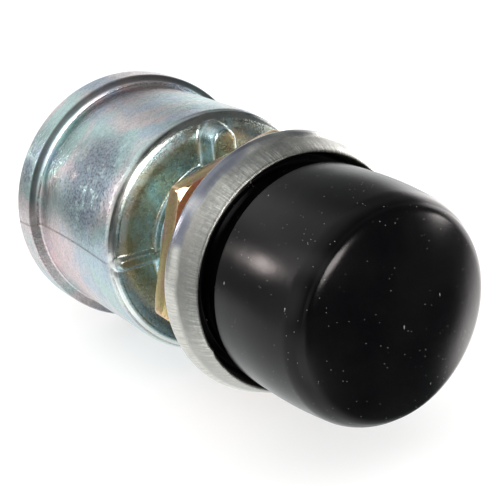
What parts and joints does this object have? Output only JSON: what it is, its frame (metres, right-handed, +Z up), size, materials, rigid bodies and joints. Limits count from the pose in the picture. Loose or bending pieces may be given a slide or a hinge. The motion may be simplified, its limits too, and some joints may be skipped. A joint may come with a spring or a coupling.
{
  "type": "push button",
  "caption": "Sealed panel-mount push button with a black rubber boot, steel face ring, hexagonal mounting nut and a round metal switch body with rear screw terminals.",
  "frame": {"origin": "on the switch's axis, in the plane of the panel's front face, where the sealing washer seats", "axes": "+Y along the axis towards the terminals behind the panel, so the button faces -Y; +Z up through the key lug; +X to the right seen from the button side"},
  "size_m": [0.0392, 0.0785, 0.0392],
  "materials": {
    "housing_zinc": "satin die casting, clear iridescent chromate",
    "nut_zinc": "yellow iridescent chromate over zinc",
    "ring_steel": "brushed, fine scratches",
    "spring_steel": "bright drawn",
    "brass": "machined",
    "copper": "rolled copper sheet",
    "silver": "pressed silver facing",
    "rubber": "semi-matte moulded",
    "phenolic": "moulded phenolic, semi-gloss",
    "fibre": "vulcanised fibre, matte",
    "nylon": "natural nylon, satin"
  },
  "bodies": {
    "switch_body": {"housing": "housing_zinc", "terminal_base": "phenolic", "base_seal": "rubber", "base_retaining_ring": "spring_steel", "insulating_liner": "fibre", "terminal_stud_a": "brass", "terminal_stud_b": "brass", "fixed_contact_a": "silver", "fixed_contact_b": "silver", "terminal_washer_a": "brass", "terminal_washer_b": "brass", "spring_washer_a": "spring_steel", "spring_washer_b": "spring_steel", "terminal_nut_a": "brass", "terminal_nut_b": "brass", "guide_bush": "brass", "panel_seal": "fibre", "face_ring": "ring_steel", "threaded_insert": "brass", "boot_skirt": "rubber", "return_spring": "spring_steel"},
    "plunger": {"boot_cap": "rubber", "button_head": "phenolic", "head_screw": "ring_steel", "plunger_shaft": "ring_steel", "stop_washer": "ring_steel", "stop_clip": "spring_steel", "tail_clip": "spring_steel", "contact_spring": "spring_steel"},
    "contact": {"contact_disc": "copper", "insulating_sleeve": "nylon", "insulating_washer": "fibre"},
    "washer": {"lock_washer": "nut_zinc"},
    "nut": {"mounting_nut": "nut_zinc"}
  },
  "joints": [
    {"name": "button_press", "type": "slide", "parent": "switch_body", "child": "plunger", "axis": [0, 1, 0], "range_m": [0, 0.0045], "stiffness_N_per_m": 1800, "springref_m": -0.003, "deforming": ["return_spring", "boot_skirt"]},
    {"name": "contact_float", "type": "slide", "parent": "plunger", "child": "contact", "axis": [0, 1, 0], "range_m": [-0.0018, 0], "deforming": ["contact_spring"]},
    {"name": "nut_travel", "type": "slide", "parent": "switch_body", "child": "washer", "axis": [0, -1, 0], "range_m": [-0.0047, 0.0018]},
    {"name": "nut_turn", "type": "hinge", "parent": "washer", "child": "nut", "pos_m": [0, 0.0042, 0], "axis": [0, -1, 0], "range_deg": [-1065, 408]}
  ],
  "couplings": [
    {"joint": "contact_float", "follows": "button_press", "ratio": -0.4},
    {"joint": "nut_travel", "follows": "nut_turn", "m_per_rad": 0.00025266}
  ]
}
